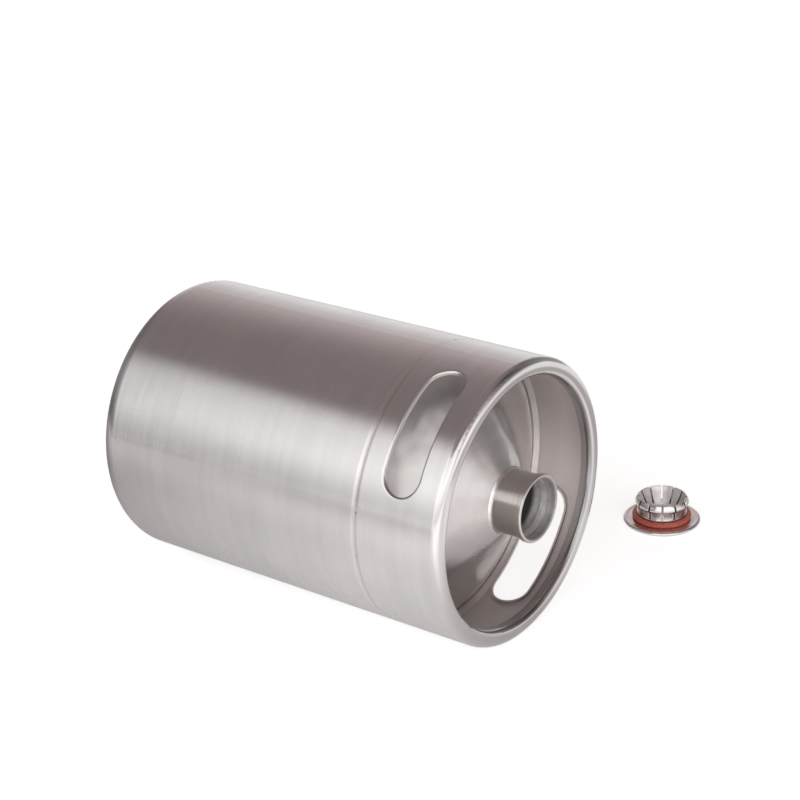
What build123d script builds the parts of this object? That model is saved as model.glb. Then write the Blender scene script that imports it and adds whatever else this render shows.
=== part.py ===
from build123d import *
import math
import os

# A single-wall stainless mini keg lying on its side, with its push-in bung taken out
# and set down beside it. Units are millimetres, +Z is up and z = 0 is the surface that
# both rest on. The keg's axis runs along +X, from the base to the neck. The origin is
# the middle of the whole assembly's footprint.

# Vessel: a deep-drawn shell, closed by a conical head
keg_diameter = 165.0
sheet = 1.2  # stainless sheet of the shell, the head and the collar
base_knuckle = 12.0  # outside radius between the base and the wall
foot_width = 8.0  # flat ring that the keg stands on when upright
base_recess = 6.0  # how far the pressed base stands in from the foot, at its edge
base_crown = 3.0  # further rise of the pressed base at its middle
base_bend = 4.0  # radius where the recess turns into the base
girth_station = 189.0  # weld between shell and collar, measured from the foot
girth_gap = 1.6  # width of the dressed weld
girth_dressing = 0.15  # how far the dressed weld lies below the wall
head_skirt = 9.0  # length of the head's skirt inside the shell
head_angle = 30.0  # slope of the conical head, in degrees
head_corner_rise = 7.8  # from the girth weld to where the lines of skirt and cone would meet
head_knuckle = 10.0

# Collar: the guard ring round the neck, with two grip slots and a rolled rim
collar_height = 54.0  # from the girth weld to the rim
rim_shoulder = 4.4  # outside radius where the wall rolls in towards the rim
rim_shoulder_turn = 62.0  # how far it turns there, in degrees
rim_face = 7.5  # outside radius of the rim's flatter crest
rim_face_turn = 40.0
rim_bend = 3.4  # outside radius where the crest rolls on, back into the collar
rim_leg = 3.7  # straight end of the roll, inside the collar
grip_clearance = 0.2  # between the collar weld's toe and the turned-in edge of the slots
grip_length = 74.4
grip_width = 22.4
grip_lip = 2.7  # depth of the turned-in edge, from the outside
grip_edge_radius = 1.5
grip_turn = 131.8  # direction of the upper slot about the keg's axis, from +Y towards +Z

# Collar weld: the bead in the crevice between the collar's wall and the head
bead_rise = 12.6  # from the girth weld to the bead's toe on the wall
bead_run = 3.2  # length of its sloping face, along the wall
bead_height = 1.6  # how far it stands in from the wall
bead_depth = 3.0  # how far it reaches behind the corner of the head
bead_crest = 0.6

# Neck: a turned spud, welded into the head
neck_diameter = 36.6
neck_bore = 33.6
neck_height = 19.8  # from the cone to the mouth
neck_tail = 3.5  # length of the spud inside the head
mouth_diameter = 39.0  # bead round the mouth
mouth_width = 3.6
mouth_rounding = 0.8
seat_bore = 35.0  # where the bung's O-ring seals
seat_depth = 4.6
seat_lead_in = 0.6
lip_bore = 32.0  # the lip that the bung's fingers snap behind
lip_width = 4.5
weld_leg = 2.0
weld_crown = 0.3

# Bung: flange, O-ring groove and a crown of spring fingers, lying on its flange
flange_diameter = 48.0
flange_thickness = 2.6
flange_rounding = 0.9
flange_recess = 0.8
flange_land = 5.5  # width of the ring that it rests on
ring_section = 3.53  # standard O-ring, 29.74 x 3.53
ring_bore = 29.74
groove_clearance = 0.07
groove_lip = 0.9
groove_lip_diameter = 31.4
finger_count = 12
finger_gap = 1.2
finger_wall = 1.5
finger_neck_diameter = 29.8
snap_diameter = 33.3
snap_height = 10.7  # middle of the snap ridge above the flange
snap_land = 1.8
crown_diameter = 30.4
crown_height = 14.2
bung_station = 238.0  # middle of the bung, along the keg from its foot
bung_offset = 166.0  # and sideways from the keg's axis

# Radii worked out from the sizes
keg_radius = keg_diameter / 2
inside_radius = keg_radius - sheet
neck_radius = neck_diameter / 2
flange_radius = flange_diameter / 2


def cone_station(radius):
    """Station of the head's outer surface at a radius from the keg's axis."""
    corner_station = girth_station + head_corner_rise
    return corner_station + (inside_radius - radius) * math.tan(math.radians(head_angle))


# Stations along the keg, measured from its foot, and the places of keg and bung
bead_toe = girth_station + bead_rise
grip_station = bead_toe + grip_clearance + sheet + grip_width / 2
rim_station = girth_station + collar_height
mouth_station = cone_station(neck_radius) + neck_height
far_end = max(mouth_station, rim_station, bung_station + flange_radius)
foot_x = -far_end / 2
axis_y = (keg_radius - bung_offset - flange_radius) / 2
bung_centre = (foot_x + bung_station, axis_y + bung_offset, 0)

keg_section = Plane(origin=(foot_x, axis_y, keg_radius), x_dir=(1, 0, 0), z_dir=(0, -1, 0))
keg_axis = Axis(keg_section.origin, (1, 0, 0))
bung_section = Plane(origin=bung_centre, x_dir=(1, 0, 0), z_dir=(0, -1, 0))
bung_axis = Axis(bung_centre, (0, 0, 1))

# Shell: wall, base knuckle, foot and recessed base, drawn from one sheet
foot_outer = keg_radius - base_knuckle
foot_inner = foot_outer - foot_width
base_edge = foot_inner - base_recess

with BuildPart() as body_shell:
    with BuildSketch(keg_section):
        with BuildLine() as shell_outside:
            TangentArc((base_recess + base_crown, 0), (base_recess, base_edge), tangent=(0, 1))
            Line((base_recess, base_edge), (0, foot_inner))
            Line((0, foot_inner), (0, foot_outer))
            RadiusArc((0, foot_outer), (base_knuckle, keg_radius), base_knuckle)
            Line((base_knuckle, keg_radius), (girth_station - girth_gap / 2, keg_radius))
            recess_corners = shell_outside.vertices().filter_by_position(Axis.Y, base_edge, foot_inner)
            fillet(recess_corners, radius=base_bend)
            offset(amount=sheet, side=Side.RIGHT)
        make_face()
    revolve(axis=keg_axis)
body_shell.part.label = "body_shell"

# Head: skirt, knuckle and cone, with a hole for the neck
with BuildPart() as top_head:
    with BuildSketch(keg_section):
        with BuildLine():
            FilletPolyline(
                (girth_station - head_skirt, inside_radius),
                (cone_station(inside_radius), inside_radius),
                (cone_station(neck_radius - sheet), neck_radius - sheet),
                radius=head_knuckle,
            )
            offset(amount=sheet, side=Side.RIGHT)
        make_face()
    revolve(axis=keg_axis)
    with BuildSketch(Plane(keg_axis.position, z_dir=keg_axis.direction)):
        Circle(neck_radius)
    extrude(amount=mouth_station, mode=Mode.SUBTRACT)
top_head.part.label = "top_head"

# Collar: guard ring with a rolled rim and two opposite grip slots whose edges turn in
face_slope = math.radians(90 - rim_shoulder_turn)
roll_station = rim_station - rim_face + (rim_face - rim_shoulder) * math.cos(face_slope)
grip_angle = math.radians(grip_turn)
grip_plane = Plane(
    origin=keg_section.from_local_coords((grip_station, 0, 0)),
    x_dir=(1, 0, 0),
    z_dir=(0, math.cos(grip_angle), math.sin(grip_angle)),
)

with BuildPart() as grip_lips:
    with BuildSketch(keg_section):
        with Locations((grip_station, keg_radius - (grip_lip + sheet / 2) / 2)):
            Rectangle(2 * grip_width, grip_lip - sheet / 2)
    revolve(axis=keg_axis)
    with BuildSketch(grip_plane):
        SlotOverall(grip_length + 2 * sheet, grip_width + 2 * sheet, rotation=90)
    extrude(amount=keg_diameter, both=True, mode=Mode.INTERSECT)

with BuildPart() as top_collar:
    with BuildSketch(keg_section):
        with BuildLine():
            wall_line = Line((girth_station + girth_gap / 2, keg_radius), (roll_station, keg_radius))
            shoulder = JernArc(wall_line @ 1, wall_line % 1, rim_shoulder, -rim_shoulder_turn)
            face = JernArc(shoulder @ 1, shoulder % 1, rim_face, -rim_face_turn)
            bend = JernArc(face @ 1, face % 1, rim_bend, rim_shoulder_turn + rim_face_turn - 180)
            PolarLine(bend @ 1, rim_leg, direction=bend % 1)
            offset(amount=sheet, side=Side.RIGHT)
        make_face()
    revolve(axis=keg_axis)
    add(grip_lips.part)
    with BuildSketch(grip_plane):
        SlotOverall(grip_length, grip_width, rotation=90)
    extrude(amount=keg_diameter, both=True, mode=Mode.SUBTRACT)
    collar_wall = top_collar.faces().filter_by(GeomType.CYLINDER).sort_by(SortBy.AREA)[-1]
    fillet(collar_wall.inner_wires().edges(), radius=grip_edge_radius)
top_collar.part.label = "top_collar"

# Girth weld: joins shell, head skirt and collar, dressed slightly below the wall
with BuildPart() as girth_weld:
    with BuildSketch(keg_section):
        with BuildLine():
            weld_root = Polyline(
                (girth_station - girth_gap / 2, keg_radius),
                (girth_station - girth_gap / 2, inside_radius),
                (girth_station + girth_gap / 2, inside_radius),
                (girth_station + girth_gap / 2, keg_radius),
            )
            ThreePointArc(weld_root @ 1, (girth_station, keg_radius - girth_dressing), weld_root @ 0)
        make_face()
    revolve(axis=keg_axis)
girth_weld.part.label = "girth_weld"

# Collar weld: bead on the collar's wall that closes the crevice behind the head's knuckle
knuckle_station = cone_station(inside_radius) - head_knuckle * math.tan(math.radians(90 - head_angle) / 2)
bead_back = cone_station(inside_radius) - bead_depth
with BuildPart() as collar_weld:
    with BuildSketch(keg_section):
        with BuildLine():
            bead_face = FilletPolyline(
                (bead_back, inside_radius - bead_height),
                (bead_toe - bead_run, inside_radius - bead_height),
                (bead_toe, inside_radius),
                radius=bead_crest,
            )
            Polyline(bead_face @ 1, (bead_back, inside_radius), bead_face @ 0)
        make_face()
        with Locations((knuckle_station, inside_radius - head_knuckle)):
            Circle(head_knuckle, mode=Mode.SUBTRACT)
    revolve(axis=keg_axis)
collar_weld.part.label = "collar_weld"

# Neck: turned spud with a beaded mouth, a seat for the O-ring and a lip for the fingers
lip_station = mouth_station - seat_depth
lip_back = lip_station - lip_width
with BuildPart() as neck_spud:
    with BuildSketch(keg_section) as neck_profile:
        with BuildLine():
            Polyline(
                (cone_station(neck_radius) - neck_tail, neck_bore / 2),
                (cone_station(neck_radius) - neck_tail, neck_radius),
                (mouth_station - mouth_width, neck_radius),
                (mouth_station - mouth_width, mouth_diameter / 2),
                (mouth_station, mouth_diameter / 2),
                (mouth_station, seat_bore / 2 + seat_lead_in),
                (mouth_station - seat_lead_in, seat_bore / 2),
                (lip_station, seat_bore / 2),
                (lip_station, lip_bore / 2),
                (lip_back, lip_bore / 2),
                (lip_back - (neck_bore - lip_bore) / 2, neck_bore / 2),
                close=True,
            )
        make_face()
        mouth_corners = neck_profile.vertices().sort_by(Axis.Y)[-2:]
        fillet(mouth_corners, radius=mouth_rounding)
    revolve(axis=keg_axis)
neck_spud.part.label = "neck_spud"

# Neck weld: fillet between the spud and the cone
with BuildPart() as neck_weld:
    with BuildSketch(keg_section):
        with BuildLine():
            toes = Polyline(
                (cone_station(neck_radius) + weld_leg, neck_radius),
                (cone_station(neck_radius), neck_radius),
                (cone_station(neck_radius + weld_leg), neck_radius + weld_leg),
            )
            SagittaArc(toes @ 1, toes @ 0, weld_crown)
        make_face()
    revolve(axis=keg_axis)
neck_weld.part.label = "neck_weld"

# Bung: cup-shaped body, its crown slit into spring fingers above the O-ring groove
groove_top = flange_thickness + ring_section + groove_clearance
neck_start = groove_top + groove_lip
snap_middle = flange_thickness + snap_height
crown_top = flange_thickness + crown_height
cup_radius = finger_neck_diameter / 2 - finger_wall
snap_rise = (snap_diameter - finger_neck_diameter) / 2
with BuildPart() as bung_body:
    with BuildSketch(bung_section) as bung_profile:
        with BuildLine():
            Polyline(
                (0, flange_recess),
                (flange_radius - flange_land - flange_recess, flange_recess),
                (flange_radius - flange_land, 0),
                (flange_radius, 0),
                (flange_radius, flange_thickness),
                (ring_bore / 2, flange_thickness),
                (ring_bore / 2, groove_top),
                (groove_lip_diameter / 2, groove_top),
                (groove_lip_diameter / 2, neck_start),
                (finger_neck_diameter / 2, neck_start),
                (finger_neck_diameter / 2, snap_middle - snap_land / 2 - snap_rise),
                (snap_diameter / 2, snap_middle - snap_land / 2),
                (snap_diameter / 2, snap_middle + snap_land / 2),
                (crown_diameter / 2, crown_top),
                (crown_diameter / 2 - finger_wall, crown_top),
                (cup_radius, neck_start),
                (cup_radius, flange_thickness + sheet),
                (0, flange_thickness + sheet),
                close=True,
            )
        make_face()
        rim_corners = bung_profile.vertices().sort_by(Axis.X)[-2:]
        fillet(rim_corners, radius=flange_rounding)
    revolve(axis=bung_axis)
    with BuildSketch(Plane(bung_centre).offset(neck_start)):
        with PolarLocations(snap_diameter / 2, finger_count):
            Rectangle(snap_diameter / 2, finger_gap)
    extrude(amount=crown_top, mode=Mode.SUBTRACT)
bung_body.part.label = "bung_body"

# O-ring of the bung, lying on the flange in its groove
with BuildPart() as bung_seal:
    with BuildSketch(bung_section):
        with Locations(((ring_bore + ring_section) / 2, flange_thickness + ring_section / 2)):
            Circle(ring_section / 2)
    revolve(axis=bung_axis)
bung_seal.part.label = "bung_seal"

os.makedirs("parts", exist_ok=True)
for piece in (
    body_shell, top_head, top_collar, girth_weld, collar_weld, neck_spud, neck_weld, bung_body, bung_seal,
):
    export_step(piece.part, f"parts/{piece.part.label}.step")
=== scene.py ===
import math

import bpy
from mathutils import Matrix, Vector, noise


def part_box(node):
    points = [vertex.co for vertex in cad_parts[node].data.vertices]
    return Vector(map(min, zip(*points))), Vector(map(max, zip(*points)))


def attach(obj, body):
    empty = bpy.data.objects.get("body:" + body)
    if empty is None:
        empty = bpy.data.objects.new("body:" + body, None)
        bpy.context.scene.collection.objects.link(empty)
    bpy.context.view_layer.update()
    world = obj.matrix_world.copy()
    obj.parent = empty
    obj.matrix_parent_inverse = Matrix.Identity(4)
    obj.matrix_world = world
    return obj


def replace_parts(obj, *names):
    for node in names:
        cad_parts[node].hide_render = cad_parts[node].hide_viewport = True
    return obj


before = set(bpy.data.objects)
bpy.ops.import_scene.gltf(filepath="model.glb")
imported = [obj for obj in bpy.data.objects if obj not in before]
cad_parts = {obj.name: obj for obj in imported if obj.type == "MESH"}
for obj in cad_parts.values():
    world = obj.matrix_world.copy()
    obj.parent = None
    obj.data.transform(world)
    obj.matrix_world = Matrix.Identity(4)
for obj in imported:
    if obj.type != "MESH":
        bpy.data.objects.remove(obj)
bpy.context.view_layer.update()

# Places, read from the parts in model.glb. Metres, +Z up, the keg's axis along +X.
shell_low, shell_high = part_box("body_shell")
bung_low, bung_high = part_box("bung_body")
KEG_RADIUS = (shell_high.z - shell_low.z) / 2
FOOT_X = shell_low.x
AXIS_Y = (shell_high.y + shell_low.y) / 2
AXIS_Z = (shell_high.z + shell_low.z) / 2
BUNG_X = (bung_low.x + bung_high.x) / 2
BUNG_Y = (bung_low.y + bung_high.y) / 2
GIRTH_LOW, GIRTH_HIGH = (corner.x - FOOT_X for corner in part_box("girth_weld"))
RIM_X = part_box("top_collar")[1].x - FOOT_X
MOUTH_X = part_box("neck_spud")[1].x - FOOT_X


def keg_point(station, above=0.0):
    """A point given by its station from the foot and its height above the keg's axis."""
    return Vector((FOOT_X + station, AXIS_Y, AXIS_Z + above))


# --- Camera -------------------------------------------------------------------------------
VIEW_AZIMUTH = math.radians(36.925)
VIEW_ELEVATION = math.radians(23.663)
VIEW_ROLL = math.radians(-1.97)
VIEW_DISTANCE = 1.127
VIEW_AIM = keg_point(0.1606, 0.0435)
LENS_MM = 90.04
SENSOR_MM = 36.0


def make_camera():
    data = bpy.data.cameras.new("camera")
    data.lens = LENS_MM
    data.sensor_width = SENSOR_MM
    data.clip_end = 50.0
    camera = bpy.data.objects.new("camera", data)
    bpy.context.scene.collection.objects.link(camera)
    back = Vector((
        math.sin(VIEW_AZIMUTH) * math.cos(VIEW_ELEVATION),
        -math.cos(VIEW_AZIMUTH) * math.cos(VIEW_ELEVATION),
        math.sin(VIEW_ELEVATION),
    ))
    turn = back.to_track_quat("Z", "Y").to_matrix() @ Matrix.Rotation(VIEW_ROLL, 3, "Z")
    camera.matrix_world = Matrix.Translation(VIEW_AIM + back * VIEW_DISTANCE) @ turn.to_4x4()
    bpy.context.scene.camera = camera


make_camera()


# --- Shader graphs ------------------------------------------------------------------------
WHITE = (1.0, 1.0, 1.0, 1.0)
BLACK = (0.0, 0.0, 0.0, 1.0)


class Graph:
    """Adds nodes to a node tree. Values may be numbers, tuples or other nodes' outputs."""

    def __init__(self, tree):
        self.tree = tree

    def node(self, kind, inputs=(), **settings):
        node = self.tree.nodes.new("ShaderNode" + kind)
        for name, value in settings.items():
            setattr(node, name, value)
        for key, value in dict(inputs).items():
            self.put(node.inputs[key], value)
        return node

    def add(self, kind, inputs=(), output=0, **settings):
        return self.node(kind, inputs, **settings).outputs[output]

    def put(self, socket, value):
        if isinstance(value, bpy.types.NodeSocket):
            self.tree.links.new(value, socket)
        else:
            socket.default_value = value

    def math(self, operation, a, b=0.0, c=0.0):
        return self.add("Math", {0: a, 1: b, 2: c}, operation=operation)

    def size(self, value):
        return self.math("ABSOLUTE", value)

    def rest(self, value):
        return self.math("SUBTRACT", 1.0, value)

    def product(self, *factors):
        result = factors[0]
        for factor in factors[1:]:
            result = self.math("MULTIPLY", result, factor)
        return result

    def total(self, *parts):
        result = parts[0]
        for part in parts[1:]:
            result = self.math("ADD", result, part)
        return result

    def ramp(self, value, low, high, to_low=0.0, to_high=1.0, shape="SMOOTHSTEP"):
        """A step from to_low to to_high as value goes from low to high."""
        inputs = {"Value": value, "From Min": low, "From Max": high, "To Min": to_low, "To Max": to_high}
        return self.add("MapRange", inputs, interpolation_type=shape)

    def between(self, factor, at_zero, at_one):
        """at_zero where factor is 0 and at_one where it is 1, or just the number if both are the same."""
        return at_zero if at_zero == at_one else self.ramp(factor, 0.0, 1.0, at_zero, at_one)

    def patch(self, *steps):
        """Product of steps, each a value, where it is down, where it is up and its levels if not 0 and 1."""
        return self.product(*(self.ramp(*step) for step in steps))

    def blend(self, factor, a, b):
        """Number a where factor is 0 and b where it is 1."""
        return self.add("Mix", {"Factor": factor, 2: a, 3: b})

    def mix(self, factor, a, b):
        """Colour a where factor is 0 and b where it is 1."""
        return self.add("Mix", {"Factor": factor, 6: a, 7: b}, output=2, data_type="RGBA")

    def scaled(self, colour, factor):
        return self.add("VectorMath", {0: colour, 3: factor}, operation="SCALE")

    def dot(self, a, b):
        return self.add("VectorMath", {0: a, 1: b}, output=1, operation="DOT_PRODUCT")

    def split(self, vector):
        return self.node("SeparateXYZ", {0: vector}).outputs

    def noise(self, vector, scale=1.0, detail=2.0):
        return self.add("TexNoise", {"Vector": vector, "Scale": scale, "Detail": detail})


def shaded(colour, factors):
    """The colour with its red, green and blue each multiplied by a factor."""
    return tuple(part * factor for part, factor in zip(colour, factors)) + (1.0,)


# --- Light --------------------------------------------------------------------------------
# The world is drawn by direction, from -1 to 1 along each axis. A pair says where a step is down
# and where it is up. A group of four adds the levels at its two ends.
HORIZON = 1.14
CEILING = 0.25
CEILING_Z = 0.72
CEILING_TINT = (1.14, 0.95, 0.955, 1.0)
TINT_Z = (0.10, 0.60)
SHADE = 0.26  # what two dark areas behind the keg leave of the light; the second is the gap
SHADE_X, SHADE_Y, SHADE_Z = (0.0, 0.45), (0.25, 0.60), (0.0, 0.12)
GAP_X, GAP_Y, GAP_Z = (-0.42, -0.18), (0.60, 0.85), (-0.12, -0.04)
GAP_END_X = (0.45, 0.20)
GAP_DEPTH = 0.85
STRIP = 1.45  # bright strip low at +X, which the rim mirrors
STRIP_X, STRIP_Z = (0.80, 0.93), (0.25, 0.04)
BASE_SIDE = (-0.84, -0.72, 0.25, 1.0)  # darker end at -X
SOFTBOX_Y = (-0.05, -0.30)
SOFTBOX_TOP = (0.765, 0.70)
SOFTBOX_TOP_SHIFT = (-0.70, -0.50, -0.035, 0.015)  # moves its upper edge, by X
SOFTBOX_FOOT = (0.0, 0.36, 0.74, 1.12)
SOFTBOX_HEAD = (0.36, 0.75, 1.0, 0.80)
SOFTBOX_LEFT = (-0.74, -0.48, 0.15, 1.80)
SOFTBOX_RIGHT = (-0.40, 0.0, 1.0, 0.8)
GROUND_Y, GROUND_Z = (0.3, -0.1), (0.0, -0.035)  # below the horizon, past the floor
GROUND_LEVEL = (-0.68, -0.50, 0.0, 1.5)


def make_world():
    """Soft studio light: bright low backdrop, dark ceiling and a large softbox at the front."""
    world = bpy.data.worlds.new("studio")
    world.use_nodes = True
    bpy.context.scene.world = world
    graph = Graph(world.node_tree)
    x, y, z = graph.split(graph.add("TexCoord"))
    seen = graph.add("LightPath")

    backdrop = graph.ramp(z, 0.0, CEILING_Z, HORIZON, CEILING, shape="LINEAR")
    shade = graph.patch((x, *SHADE_X), (y, *SHADE_Y), (z, *SHADE_Z))
    gap = graph.patch((x, *GAP_X), (y, *GAP_Y), (z, *GAP_Z), (x, *GAP_END_X))
    shade = graph.math("MAXIMUM", shade, graph.product(gap, GAP_DEPTH))
    backdrop = graph.product(backdrop, graph.ramp(shade, 0.0, 1.0, 1.0, SHADE, shape="LINEAR"))
    strip = graph.patch((x, *STRIP_X), (graph.size(z), *STRIP_Z))
    backdrop = graph.product(graph.blend(strip, backdrop, STRIP), graph.ramp(x, *BASE_SIDE))

    front = graph.patch(
        (z, *SOFTBOX_FOOT),
        (z, *SOFTBOX_HEAD),
        (x, *SOFTBOX_LEFT),
        (x, *SOFTBOX_RIGHT),
    )
    height = graph.math("SUBTRACT", z, graph.ramp(x, *SOFTBOX_TOP_SHIFT))
    softbox = graph.patch((y, *SOFTBOX_Y), (height, *SOFTBOX_TOP))
    level = graph.blend(softbox, backdrop, front)
    ground = graph.patch((z, *GROUND_Z), (y, *GROUND_Y))
    level = graph.blend(ground, level, graph.ramp(x, *GROUND_LEVEL))

    tinted = graph.product(graph.ramp(z, *TINT_Z), graph.rest(softbox), graph.rest(seen))
    # The camera itself sees white
    background = world.node_tree.nodes["Background"]
    graph.put(background.inputs["Color"], graph.mix(tinted, WHITE, CEILING_TINT))
    graph.put(background.inputs["Strength"], graph.math("MAXIMUM", level, seen))


# --- Floor --------------------------------------------------------------------------------
# Places in metres. The camera sees a floor that is the same all over. In the metal's mirror images its glow
# and its colour differ by place, as painted light and shade: less glow near the keg's axis and darker
# patches towards -X.
FLOOR_RADIUS = 1.2
FLOOR_SIDES = 96
FLOOR_COLOUR = (0.8, 0.8, 0.8, 1.0)
FLOOR_SHOWN = 0.66
GLOW_ALONG = (-0.25, 0.02, 0.04, 0.50)  # by X; the next is by distance from the keg's axis and paints a shadow near it
GLOW_BESIDE = (0.02, 0.12, 0.35, 1.0)
GLOW_BEHIND = (0.05, 0.22, 1.0, 0.25)
GLOW_FAR = (0.30, 0.50, 0.0, 0.50)
RIGHT_GLOW = 0.42
RIGHT_X, RIGHT_Y = (0.11, 0.25), (0.12, 0.0)
FRONT_GLOW = 0.28
FRONT_Y = (-0.16, -0.36)
DARK_X, DARK_Y = (-0.44, -0.64), (-0.52, -0.72)
DIM = 0.4
DIM_X, DIM_Y = (-0.12, -0.34), (-0.34, -0.18)


def floor_mesh():
    turns = [math.tau * k / FLOOR_SIDES for k in range(FLOOR_SIDES)]
    ring = [(FLOOR_RADIUS * math.cos(turn), FLOOR_RADIUS * math.sin(turn), 0.0) for turn in turns]
    mesh = bpy.data.meshes.new("floor")
    mesh.from_pydata(ring, [], [tuple(range(FLOOR_SIDES))])
    return mesh


def floor_material():
    material = bpy.data.materials.new("floor")
    material.use_nodes = True
    material.node_tree.nodes.clear()
    graph = Graph(material.node_tree)
    path = graph.node("LightPath").outputs
    x, y, z = graph.split(graph.add("TexCoord", output=3))
    beside = graph.size(graph.math("SUBTRACT", y, AXIS_Y))
    # painted shade: a dark patch at the front towards -X, seen only in the metal's mirror images
    dark = graph.patch((y, *DARK_Y), (x, *DARK_X))

    mirrored = graph.product(
        graph.ramp(x, *GLOW_ALONG, shape="LINEAR"),
        graph.ramp(beside, *GLOW_BESIDE),
        graph.ramp(y, *GLOW_BEHIND),
    )
    right = graph.patch((x, *RIGHT_X), (y, *RIGHT_Y))
    mirrored = graph.math("MULTIPLY_ADD", right, RIGHT_GLOW, mirrored)
    front = graph.product(graph.ramp(y, *FRONT_Y), graph.rest(dark), FRONT_GLOW)
    mirrored = graph.total(mirrored, front, graph.ramp(y, *GLOW_FAR))
    shown = graph.product(path["Is Camera Ray"], FLOOR_SHOWN)
    strength = graph.math("MULTIPLY_ADD", path["Is Glossy Ray"], mirrored, shown)
    glow = graph.add("Emission", {"Color": WHITE, "Strength": strength})

    # painted shade: the floor's colour is darkened in these patches, only for the metal's mirror images
    dim = graph.patch((x, *DIM_X), (y, *DIM_Y))
    dim = graph.product(graph.math("MULTIPLY_ADD", dim, DIM, dark), path["Is Glossy Ray"])
    matt = graph.add("BsdfDiffuse", {"Color": graph.mix(dim, FLOOR_COLOUR, BLACK)})
    graph.node("OutputMaterial", {"Surface": graph.add("AddShader", {0: glow, 1: matt})})
    return material


def make_floor():
    floor = bpy.data.objects.new("floor", floor_mesh())
    bpy.context.scene.collection.objects.link(floor)
    floor.data.materials.append(floor_material())


make_world()
make_floor()


# --- Materials ----------------------------------------------------------------------------
KEG_CENTRE = (FOOT_X, AXIS_Y, AXIS_Z)
BUNG_CENTRE = (BUNG_X, BUNG_Y, 0.0)
MOST_NOISE = (0.3, 0.7)  # most values of a noise lie between these
MID_NOISE = (0.35, 0.65)
QUARTER_TURN = 0.25  # turns the tangent across the brush marks, which run round the axis
FINE_STRENGTH = 0.4
LINE_SKEW = 0.8  # how far the radius moves the brushed lines, so that they show on slopes and flat ends
SEAM_PAINTED_HIGHLIGHT = GIRTH_LOW - 0.0014  # stations of the painted highlight and the painted shade line along the girth weld
SEAM_PAINTED_SHADE = GIRTH_LOW + 0.0015
SEAM_SHADE = 0.10
SEAM_CONTRAST = 1.5
LINE_HALF = (0.0010, 0.0002)
GROOVE_STATION = GIRTH_LOW + 0.0003
GROOVE_HALF = 0.0025
GROOVE_DEPTH = 0.0001
GRIP_FRONT = (0.2142, 0.2160)  # stations of the grip slots' lips on the side of the rim
GRIP_END = (0.2275, 0.2265)
CUT_FACING = (0.35, 0.15)


class Finish(Graph):
    """A material round one Principled shader, with coordinates for metal that was turned or brushed."""

    def __init__(self, name, centre, axis):
        self.material = bpy.data.materials.new(name)
        self.material.use_nodes = True
        super().__init__(self.material.node_tree)
        self.bsdf = self.tree.nodes["Principled BSDF"]
        self.axis = axis
        spot = self.add("TexCoord", output=3)
        self.place = self.add("VectorMath", {0: spot, 1: centre}, operation="SUBTRACT")
        x, y, z = self.split(self.place)
        self.along, u, v = (x, y, z) if axis == "X" else (z, x, y)
        self.across = (u, v)
        self.flat = self.add("CombineXYZ", {0: u, 1: v})
        self.radius = self.add("VectorMath", {0: self.flat}, output=1, operation="LENGTH")
        self.facing = self.add("NewGeometry", output=1)
        radial = (0.0, u, v) if axis == "X" else (u, v, 0.0)
        radial = self.add("CombineXYZ", dict(enumerate(radial)))
        radial = self.add("VectorMath", {0: radial}, operation="NORMALIZE")
        self.outward = self.dot(self.facing, radial)

    def set(self, **values):
        for name, value in values.items():
            self.put(self.bsdf.inputs[name.replace("_", " ").title()], value)

    def brushed(self, anisotropic):
        self.set(anisotropic=anisotropic, anisotropic_rotation=QUARTER_TURN)
        self.set(tangent=self.add("Tangent", direction_type="RADIAL", axis=self.axis))

    def bump(self, height, distance, strength=1.0):
        self.set(normal=self.add("Bump", {"Height": height, "Distance": distance, "Strength": strength}))

    def lines(self, across, around):
        """Noise drawn out round the axis: features of 1/across metres by 1/around metres."""
        step = self.product(self.math("MULTIPLY_ADD", self.radius, LINE_SKEW, self.along), across)
        u, v = (self.product(part, around) for part in self.across)
        return self.noise(self.add("CombineXYZ", {0: step, 1: u, 2: v}))

    def grips(self):
        """1 along the half of the grip slots' lips that is nearer to the rim."""
        return self.patch((self.along, *GRIP_FRONT), (self.along, *GRIP_END))

    def line_at(self, station):
        """1 along a soft line round the keg at this station."""
        return self.ramp(self.size(self.math("SUBTRACT", self.along, station)), *LINE_HALF)

    def groove(self):
        """Height of the shallow groove that dressing left along the girth weld."""
        aside = self.size(self.math("SUBTRACT", self.along, GROOVE_STATION))
        return self.ramp(aside, 0.0, GROOVE_HALF, -GROOVE_DEPTH, 0.0)

    def cuts(self):
        """1 on faces that look neither along the axis nor towards or away from it, as a slit's sides do."""
        axial = self.split(self.facing)["XYZ".index(self.axis)]
        return self.patch((self.size(axial), *CUT_FACING), (self.size(self.outward), *CUT_FACING))


FINE_LINES = (1500.0, 30.0)
BROAD_LINES = (160.0, 9.0)
CLOUD_SCALE = 26.0
DENT_SCALE = 50.0
FINE_LIGHT = (-0.014, 0.014)
BROAD_LIGHT = (-0.02, 0.02)
CLOUD_LIGHT = (0.965, 1.03)
FINE_ROUGHER = (-0.01, 0.015)
CLOUD_ROUGHER = (-0.015, 0.02)
ROLL = (RIM_X - 0.0048, RIM_X - 0.0030)  # stations where the rim's polished roll begins
ROLL_ROUGHNESS = 0.16
ROLL_ANISOTROPIC = 0.2
CURL = (RIM_X - 0.009, RIM_X - 0.007)  # stations where the curl inside the rim begins
CURL_FACING = (-0.35, -0.95)
# what the painted shade inside the rim's curl leaves of the light
CURL_SHADE = 0.5
# painted shade on the grip slots' lips: which faces get it, and what it leaves of the light
LIP_FACING = (0.55, 0.25)
LIP_SHADE = 0.45
LIT_SIDE = (0.985, 0.174, 0.0)  # side of the collar's inside that is left without the painted shade, as y and z
LIT_ANGLE = (0.92, 0.55)
INSIDE_FACING = (0.02, -0.02)
INSIDE_METALLIC = 0.80
# what the painted shade on the collar's inside leaves of the light
INSIDE_SHADE = 0.90
WARMER = (1.01, 0.99, 0.985)
SCRATCH_DEPTH = 0.0000009
BASE_MIDDLE = (0.011, 0.024)  # radii; the tangent has no direction in the middle of the base


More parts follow.
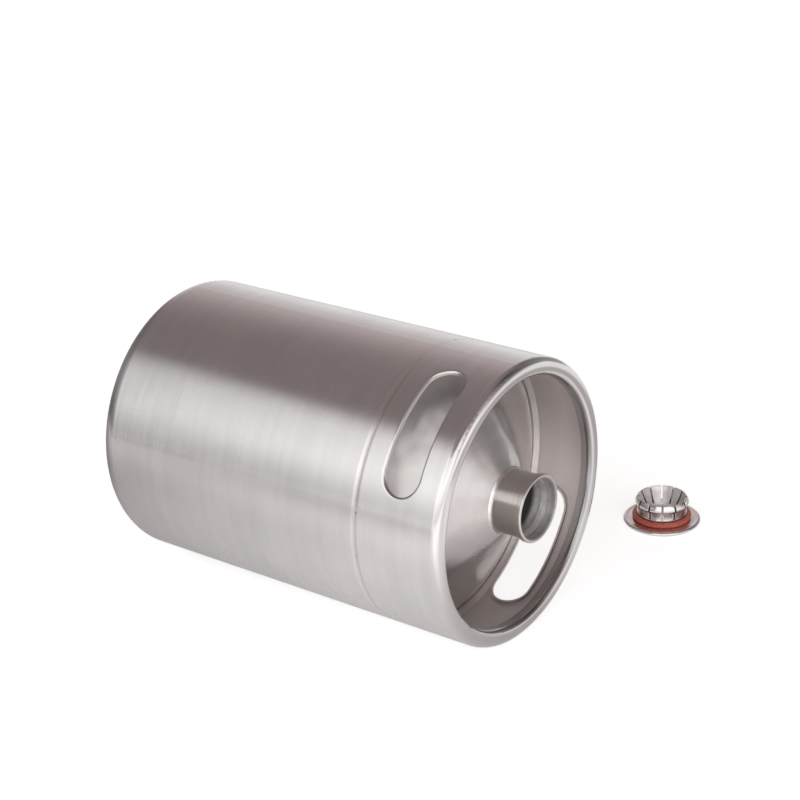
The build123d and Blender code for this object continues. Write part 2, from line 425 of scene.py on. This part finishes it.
def brushed_steel(name, outside, inside, roughness, anisotropic, waves=0.0, matt=0.0):
    """Sheet brushed round the keg and clouded by handling; satin inside, polished on the rim's roll."""
    finish = Finish(name, KEG_CENTRE, "X")
    fine = finish.lines(*FINE_LINES)
    broad = finish.lines(*BROAD_LINES)
    clouds = finish.noise(finish.place, scale=CLOUD_SCALE, detail=3.0)

    # Where on the sheet
    rolled = finish.ramp(finish.along, *ROLL)
    unrolled = finish.rest(rolled)
    past_girth = finish.math("GREATER_THAN", finish.along, GIRTH_LOW)
    within = finish.product(finish.ramp(finish.outward, *INSIDE_FACING), unrolled, past_girth)
    # painted shade on the inward-facing sheet inside the rim's curl
    painted_curl_shade = finish.patch((finish.outward, *CURL_FACING), (finish.along, *CURL))
    # painted shade on the sides of the grip slots' lips, on the half nearer the rim
    painted_lip_shade = finish.product(finish.ramp(finish.size(finish.outward), *LIP_FACING), finish.grips())
    # painted shade over the collar's inside, fading out towards the side given by LIT_SIDE
    lit = finish.math("DIVIDE", finish.dot(finish.flat, LIT_SIDE), finish.radius)
    painted_inside_shade = finish.product(within, finish.ramp(lit, *LIT_ANGLE))

    # Colour
    light = finish.total(
        finish.ramp(fine, *MOST_NOISE, *FINE_LIGHT),
        finish.ramp(broad, *MOST_NOISE, *BROAD_LIGHT),
        finish.ramp(clouds, *MOST_NOISE, *CLOUD_LIGHT),
    )
    light = finish.product(light, finish.between(painted_curl_shade, 1.0, CURL_SHADE))
    # a painted highlight and a painted shade line along the girth weld's groove
    painted_seam_shade = finish.product(finish.line_at(SEAM_PAINTED_SHADE), SEAM_CONTRAST)
    painted_seam_lines = finish.math("SUBTRACT", finish.line_at(SEAM_PAINTED_HIGHLIGHT), painted_seam_shade)
    light = finish.total(light, finish.product(painted_seam_lines, SEAM_SHADE))
    light = finish.product(light, finish.between(painted_lip_shade, 1.0, LIP_SHADE))
    light = finish.product(light, finish.between(painted_inside_shade, 1.0, INSIDE_SHADE))
    cloudy = finish.mix(finish.ramp(clouds, *MID_NOISE), outside, shaded(outside, WARMER))
    finish.set(base_color=finish.scaled(finish.mix(within, cloudy, inside), light))
    finish.set(metallic=finish.between(within, 1.0 - matt, INSIDE_METALLIC))

    # Polish
    spread = finish.total(
        finish.ramp(fine, *MOST_NOISE, *FINE_ROUGHER),
        finish.ramp(clouds, *MID_NOISE, *CLOUD_ROUGHER),
    )
    smoother = finish.between(rolled, 0.0, ROLL_ROUGHNESS - roughness[0])
    finish.set(roughness=finish.total(finish.between(within, *roughness), smoother, spread))
    grain = finish.between(rolled, anisotropic, ROLL_ANISOTROPIC)
    finish.brushed(finish.product(grain, finish.ramp(finish.radius, *BASE_MIDDLE)))

    # Relief
    scratches = finish.product(fine, finish.rest(within), unrolled)
    height = finish.math("MULTIPLY_ADD", scratches, SCRATCH_DEPTH, finish.groove())
    if waves:
        dents = finish.noise(finish.place, scale=DENT_SCALE, detail=1.0)
        height = finish.total(height, finish.product(dents, waves))
    finish.bump(height, 1.0)
    return finish.material


TURNED_RINGS = (4000.0, 6.0)
TURNED_BANDS = (700.0, 4.0)
STAIN_SCALE = 160.0
RING_LIGHT = (-0.03, 0.03)
BAND_LIGHT = (0.96, 1.04)
RING_ROUGHER = (-0.03, 0.04)
RING_DEPTH = 0.00002
RING_STRENGTH = 0.3
BORE_FACING = (0.05, -0.3)
BORE_METALLIC = 0.62
BORE_ROUGHER = 0.22
BORE_STAIN = (0.8, 0.8, 0.8)
SLIT_SHADE = 0.35


def turned_steel(name, centre, axis, colour, roughness, anisotropic, inside, painted_shade_zones=()):
    """Lathe-turned metal with fine rings and a rougher, less metallic bore, with painted shade in given
    zones of the bore and on the sides of slits.
    """
    finish = Finish(name, centre, axis)
    rings = finish.lines(*TURNED_RINGS)
    bands = finish.lines(*TURNED_BANDS)
    stains = finish.noise(finish.place, scale=STAIN_SCALE, detail=4.0)
    bore = finish.ramp(finish.outward, *BORE_FACING)

    light = finish.total(
        finish.ramp(rings, *MOST_NOISE, *RING_LIGHT),
        finish.ramp(bands, *MOST_NOISE, *BAND_LIGHT),
    )
    # painted shade on the sides of the slits between the bung's fingers
    light = finish.product(light, finish.between(finish.cuts(), 1.0, SLIT_SHADE))
    for start, end, shade in painted_shade_zones:
        zone = finish.product(bore, finish.ramp(finish.along, start, end))
        light = finish.product(light, finish.between(zone, 1.0, shade))
    stained = finish.mix(finish.ramp(stains, *MID_NOISE), shaded(inside, BORE_STAIN), inside)
    finish.set(base_color=finish.scaled(finish.mix(bore, colour, stained), light))
    finish.set(metallic=finish.between(bore, 1.0, BORE_METALLIC))
    rough = finish.ramp(rings, *MOST_NOISE, *(roughness + part for part in RING_ROUGHER))
    finish.set(roughness=finish.total(rough, finish.between(bore, 0.0, BORE_ROUGHER)))
    finish.brushed(anisotropic)
    finish.bump(rings, RING_DEPTH, RING_STRENGTH)
    return finish.material


WELD_GRAIN = 900.0
PIT_SCALE = 160.0
PIT_NOISE = (0.70, 0.78)
PIT_DEPTH = 0.0003
HEAT_SCALE = 70.0
HEAT_NOISE = (0.35, 0.7)
HEAT_STAIN = (0.92, 0.92, 0.92)
BEAD_DEPTH = 0.00005
DRESSED_ROUGHNESS = (0.24, 0.30)
DRESSED_ANISOTROPIC = 0.8
FILLET_ROUGHNESS = (0.28, 0.40)


def dressed_weld(name):
    """Weld ground flush and brushed with the sheet, with a few pits left and the painted shade line of the
    girth seam.
    """
    finish = Finish(name, KEG_CENTRE, "X")
    grain = finish.noise(finish.place, scale=WELD_GRAIN, detail=3.0)
    pits = finish.noise(finish.place, scale=PIT_SCALE, detail=0.0)
    shade = finish.math("MULTIPLY_ADD", finish.line_at(SEAM_PAINTED_SHADE), -SEAM_CONTRAST * SEAM_SHADE, 1.0)
    finish.set(metallic=1.0, base_color=finish.scaled(WELD[:3], shade))
    finish.set(roughness=finish.ramp(grain, *MOST_NOISE, *DRESSED_ROUGHNESS))
    finish.brushed(DRESSED_ANISOTROPIC)
    finish.bump(finish.total(finish.groove(), finish.ramp(pits, *PIT_NOISE, 0.0, -PIT_DEPTH)), 1.0)
    return finish.material


def fillet_metal(name):
    """Weld bead as it was laid, satin, with faint heat stains."""
    finish = Finish(name, KEG_CENTRE, "X")
    grain = finish.noise(finish.place, scale=WELD_GRAIN, detail=3.0)
    stain = finish.noise(finish.place, scale=HEAT_SCALE, detail=2.0)
    colour = finish.mix(finish.ramp(stain, *HEAT_NOISE), FILLET, shaded(FILLET, HEAT_STAIN))
    finish.set(metallic=1.0, base_color=colour)
    finish.set(roughness=finish.ramp(grain, *MOST_NOISE, *FILLET_ROUGHNESS))
    finish.bump(grain, BEAD_DEPTH, FINE_STRENGTH)
    return finish.material


DUST_SCALE = 500.0
DUST_NOISE = (0.4, 0.75)
DUST_DEPTH = 0.00003
SILICONE_ROUGHNESS = (0.34, 0.48)


def silicone(name):
    """Red-brown silicone with a dusty bloom."""
    finish = Finish(name, BUNG_CENTRE, "Z")
    dust = finish.noise(finish.place, scale=DUST_SCALE, detail=4.0)
    colour = finish.mix(finish.ramp(dust, *DUST_NOISE), SILICONE, SILICONE_DUSTY)
    finish.set(metallic=0.0, base_color=colour)
    finish.set(roughness=finish.ramp(dust, *MOST_NOISE, *SILICONE_ROUGHNESS))
    finish.bump(dust, DUST_DEPTH, FINE_STRENGTH)
    return finish.material


OUTSIDE = (0.635, 0.620, 0.616, 1.0)
INSIDE = (0.82, 0.76, 0.742, 1.0)
HEAD = (0.635, 0.608, 0.598, 1.0)
WELD = (0.64, 0.60, 0.585, 1.0)
FILLET = (0.84, 0.80, 0.785, 1.0)
NECK = (0.60, 0.565, 0.545, 1.0)
NECK_BORE = (0.95, 0.92, 0.91, 1.0)
POLISHED = (0.76, 0.74, 0.73, 1.0)
CUP = (0.86, 0.83, 0.82, 1.0)
SILICONE = (0.50, 0.105, 0.065, 1.0)
SILICONE_DUSTY = (0.58, 0.17, 0.12, 1.0)
# Zones of painted shade in the neck's bore: where one begins, where it is full and what it leaves of the
# light
NECK_SHADE_ZONES = (
    (MOUTH_X - 0.0050, MOUTH_X - 0.0044, 0.55),  # the seat
    (MOUTH_X - 0.0115, MOUTH_X - 0.0165, 0.12),  # the depth
)

sheet_steel = brushed_steel("brushed_steel", OUTSIDE, INSIDE, (0.25, 0.42), 0.88)
head_steel = brushed_steel("brushed_head", HEAD, HEAD, (0.24, 0.30), 0.6, waves=0.0012, matt=0.2)
neck_steel = turned_steel("turned_steel", KEG_CENTRE, "X", NECK, 0.34, 0.75, NECK_BORE, NECK_SHADE_ZONES)
flush_weld = dressed_weld("dressed_weld")
fillet_weld = fillet_metal("weld_steel")
bung_steel = turned_steel("polished_steel", BUNG_CENTRE, "Z", POLISHED, 0.17, 0.2, CUP)
red_silicone = silicone("silicone")
FINISHES = {
    "body_shell": sheet_steel,
    "top_head": head_steel,
    "top_collar": sheet_steel,
    "collar_weld": fillet_weld,
    "neck_spud": neck_steel,
    "bung_seal": red_silicone,
}
for name, material in FINISHES.items():
    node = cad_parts[name]
    node.data.materials.clear()
    node.data.materials.append(material)


# --- Weld beads ---------------------------------------------------------------------------
NECK_RADIUS = 0.0183
HEAD_SLOPE = math.radians(30.0)
SOLID_WELD_LEG = 0.0020  # of the solid that the neck's bead replaces
NECK_WELD_LEG = 0.0013
NECK_WELD_HOLLOW = 0.00012
NECK_WELD_HEEL = (0.0006, 0.0003)  # how far the bead reaches into the corner, along and across the axis
NECK_WELD_LIFT = 0.00002  # of its upper edge off the neck
GIRTH_DEPTH = 0.0008
UNEVEN = 0.8  # noise added to each ripple, and its pace beside the ripple's
UNEVEN_PACE = 0.4
WELD_SIDES = 720
SHARP_ANGLE = math.radians(32.0)


def add_piece(name, points, faces, material, body):
    mesh = bpy.data.meshes.new(name)
    mesh.from_pydata(points, [], faces)
    mesh.polygons.foreach_set("use_smooth", [True] * len(faces))
    mesh.set_sharp_from_angle(angle=SHARP_ANGLE)
    mesh.materials.append(material)
    piece = bpy.data.objects.new(name, mesh)
    bpy.context.scene.collection.objects.link(piece)
    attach(piece, body)
    return piece


def ring_piece(name, section, material, ripple, pitch):
    """A ring round the keg's axis; section gives station, radius and share of the ripple, as a loop."""
    points, faces = [], []
    for k in range(WELD_SIDES):
        turn = math.tau * k / WELD_SIDES
        around = Vector((0.0, math.cos(turn), math.sin(turn)))
        for station, radius, share in section:
            uneven = noise.noise(around * (UNEVEN_PACE * radius / pitch))
            wave = math.sin(turn * radius / pitch) + UNEVEN * uneven
            points.append(keg_point(station) + around * (radius + share * ripple * wave))
    size = len(section)
    for k in range(WELD_SIDES):
        for i in range(size):
            j, m = (i + 1) % size, (k + 1) % WELD_SIDES
            faces.append((k * size + i, k * size + j, m * size + j, m * size + i))
    return add_piece(name, points, faces, material, "keg")


def girth_section():
    middle, half = (GIRTH_LOW + GIRTH_HIGH) / 2, (GIRTH_HIGH - GIRTH_LOW) / 2
    outer = [(middle + half * t, KEG_RADIUS, 1.0 - t * t) for t in (-1.0, -0.97, -0.5, 0.0, 0.5, 0.97, 1.0)]
    inner = KEG_RADIUS - GIRTH_DEPTH
    return outer + [(middle + half, inner, 0.0), (middle - half, inner, 0.0)]


def neck_section():
    """A slightly hollow fillet between the neck and the head's slope."""
    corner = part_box("neck_weld")[1].x - FOOT_X - SOLID_WELD_LEG
    top, top_radius = corner + NECK_WELD_LEG, NECK_RADIUS + NECK_WELD_LIFT
    foot = corner - NECK_WELD_LEG * math.sin(HEAD_SLOPE)
    foot_radius = NECK_RADIUS + NECK_WELD_LEG * math.cos(HEAD_SLOPE)
    section = []
    for t in (0.0, 0.03, 0.2, 0.4, 0.6, 0.8, 0.97, 1.0):
        share = math.sin(math.pi * t)
        hollow = NECK_WELD_HOLLOW * share
        station = top + (foot - top) * t - hollow
        radius = top_radius + (foot_radius - top_radius) * t - hollow
        section.append((station, radius, share))
    return section + [(corner - NECK_WELD_HEEL[0], NECK_RADIUS - NECK_WELD_HEEL[1], 0.0)]


# The two numbers are the ripple's height and pitch.
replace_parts(ring_piece("girth_weld_bead", girth_section(), flush_weld, 0.000003, 0.0011), "girth_weld")
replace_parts(ring_piece("neck_weld_bead", neck_section(), fillet_weld, 0.00004, 0.0009), "neck_weld")


# --- Bung ---------------------------------------------------------------------------------
FINGERS = 12
FINGER_GAP = 0.0012
FINGER_BEVEL = 0.00014
BUNG_SIDES = 144
# Radius and height in millimetres: a dished flange with a rolled edge, the O-ring's groove and the cup.
BUNG_BASE = (
    (0.0, 0.8), (17.6, 0.8), (18.4, 0.0),
    (22.7, 0.0), (23.2, 0.1), (23.62, 0.38), (23.9, 0.8), (24.0, 1.3),
    (23.9, 1.8), (23.62, 2.22), (23.2, 2.5), (22.7, 2.6),
    (22.1, 2.52), (21.2, 2.42), (20.2, 2.40), (19.4, 2.50), (18.7, 2.58), (18.2, 2.6),
    (14.87, 2.6), (14.87, 6.2), (15.55, 6.2), (15.7, 6.35), (15.7, 6.95), (15.55, 7.1),
    (9.9, 7.1), (9.3, 6.0), (8.2, 5.1), (6.0, 4.5), (3.0, 4.2), (0.0, 4.1),
)
# One finger: the neck and snap ridge outside, and inside a slope that continues the cup.
BUNG_FINGER = (
    (14.9, 6.9), (14.9, 10.9), (15.2, 11.4), (15.9, 12.1), (16.45, 12.7), (16.65, 13.3),
    (16.6, 13.9), (16.3, 14.7), (15.8, 15.7), (15.35, 16.5), (15.1, 16.75), (14.8, 16.8),
    (14.5, 16.7), (14.2, 16.2), (13.4, 14.0), (12.4, 11.7), (11.2, 9.3), (9.9, 6.9),
)


def bung_point(radius, turn, height):
    return Vector((BUNG_X + radius * math.cos(turn), BUNG_Y + radius * math.sin(turn), height))


def base_mesh(points, faces):
    size = len(BUNG_BASE)
    for k in range(BUNG_SIDES):
        for radius, height in BUNG_BASE:
            points.append(bung_point(radius / 1000, math.tau * k / BUNG_SIDES, height / 1000))
    for k in range(BUNG_SIDES):
        here, there = k * size, (k + 1) % BUNG_SIDES * size
        for i in range(size - 1):
            faces.append((here + i, there + i, there + i + 1, here + i + 1))


def finger_mesh(points, faces, middle):
    """Slices of the finger's section; the outer slices are drawn in to bevel its edges."""
    size, start = len(BUNG_FINGER), len(points)
    centre = (sum(r for r, h in BUNG_FINGER) / size, sum(h for r, h in BUNG_FINGER) / size)
    shares = (-1.0, -0.66, -0.33, 0.0, 0.33, 0.66, 1.0)
    slices = [(-1.0, 1)] + [(share, 0) for share in shares] + [(1.0, 1)]
    for share, drawn_in in slices:
        for radius, height in BUNG_FINGER:
            off = Vector((radius - centre[0], height - centre[1])).normalized() * FINGER_BEVEL * drawn_in
            r, h = radius / 1000 - off.x, height / 1000 - off.y
            half = math.pi / FINGERS - math.asin((FINGER_GAP / 2 + FINGER_BEVEL * (1 - drawn_in)) / r)
            points.append(bung_point(r, middle + share * half, h))
    for k in range(len(slices) - 1):
        for i in range(size):
            j = (i + 1) % size
            a, b = start + k * size, start + (k + 1) * size
            faces.append((a + i, b + i, b + j, a + j))
    faces.append(tuple(start + i for i in range(size)))
    faces.append(tuple(start + (len(slices) - 1) * size + i for i in reversed(range(size))))


def make_bung():
    points, faces = [], []
    base_mesh(points, faces)
    for k in range(FINGERS):
        finger_mesh(points, faces, math.tau * (k + 0.5) / FINGERS)
    return add_piece("bung_shell", points, faces, bung_steel, "bung")


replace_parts(make_bung(), "bung_body")

bpy.context.scene.view_settings.view_transform = "Standard"
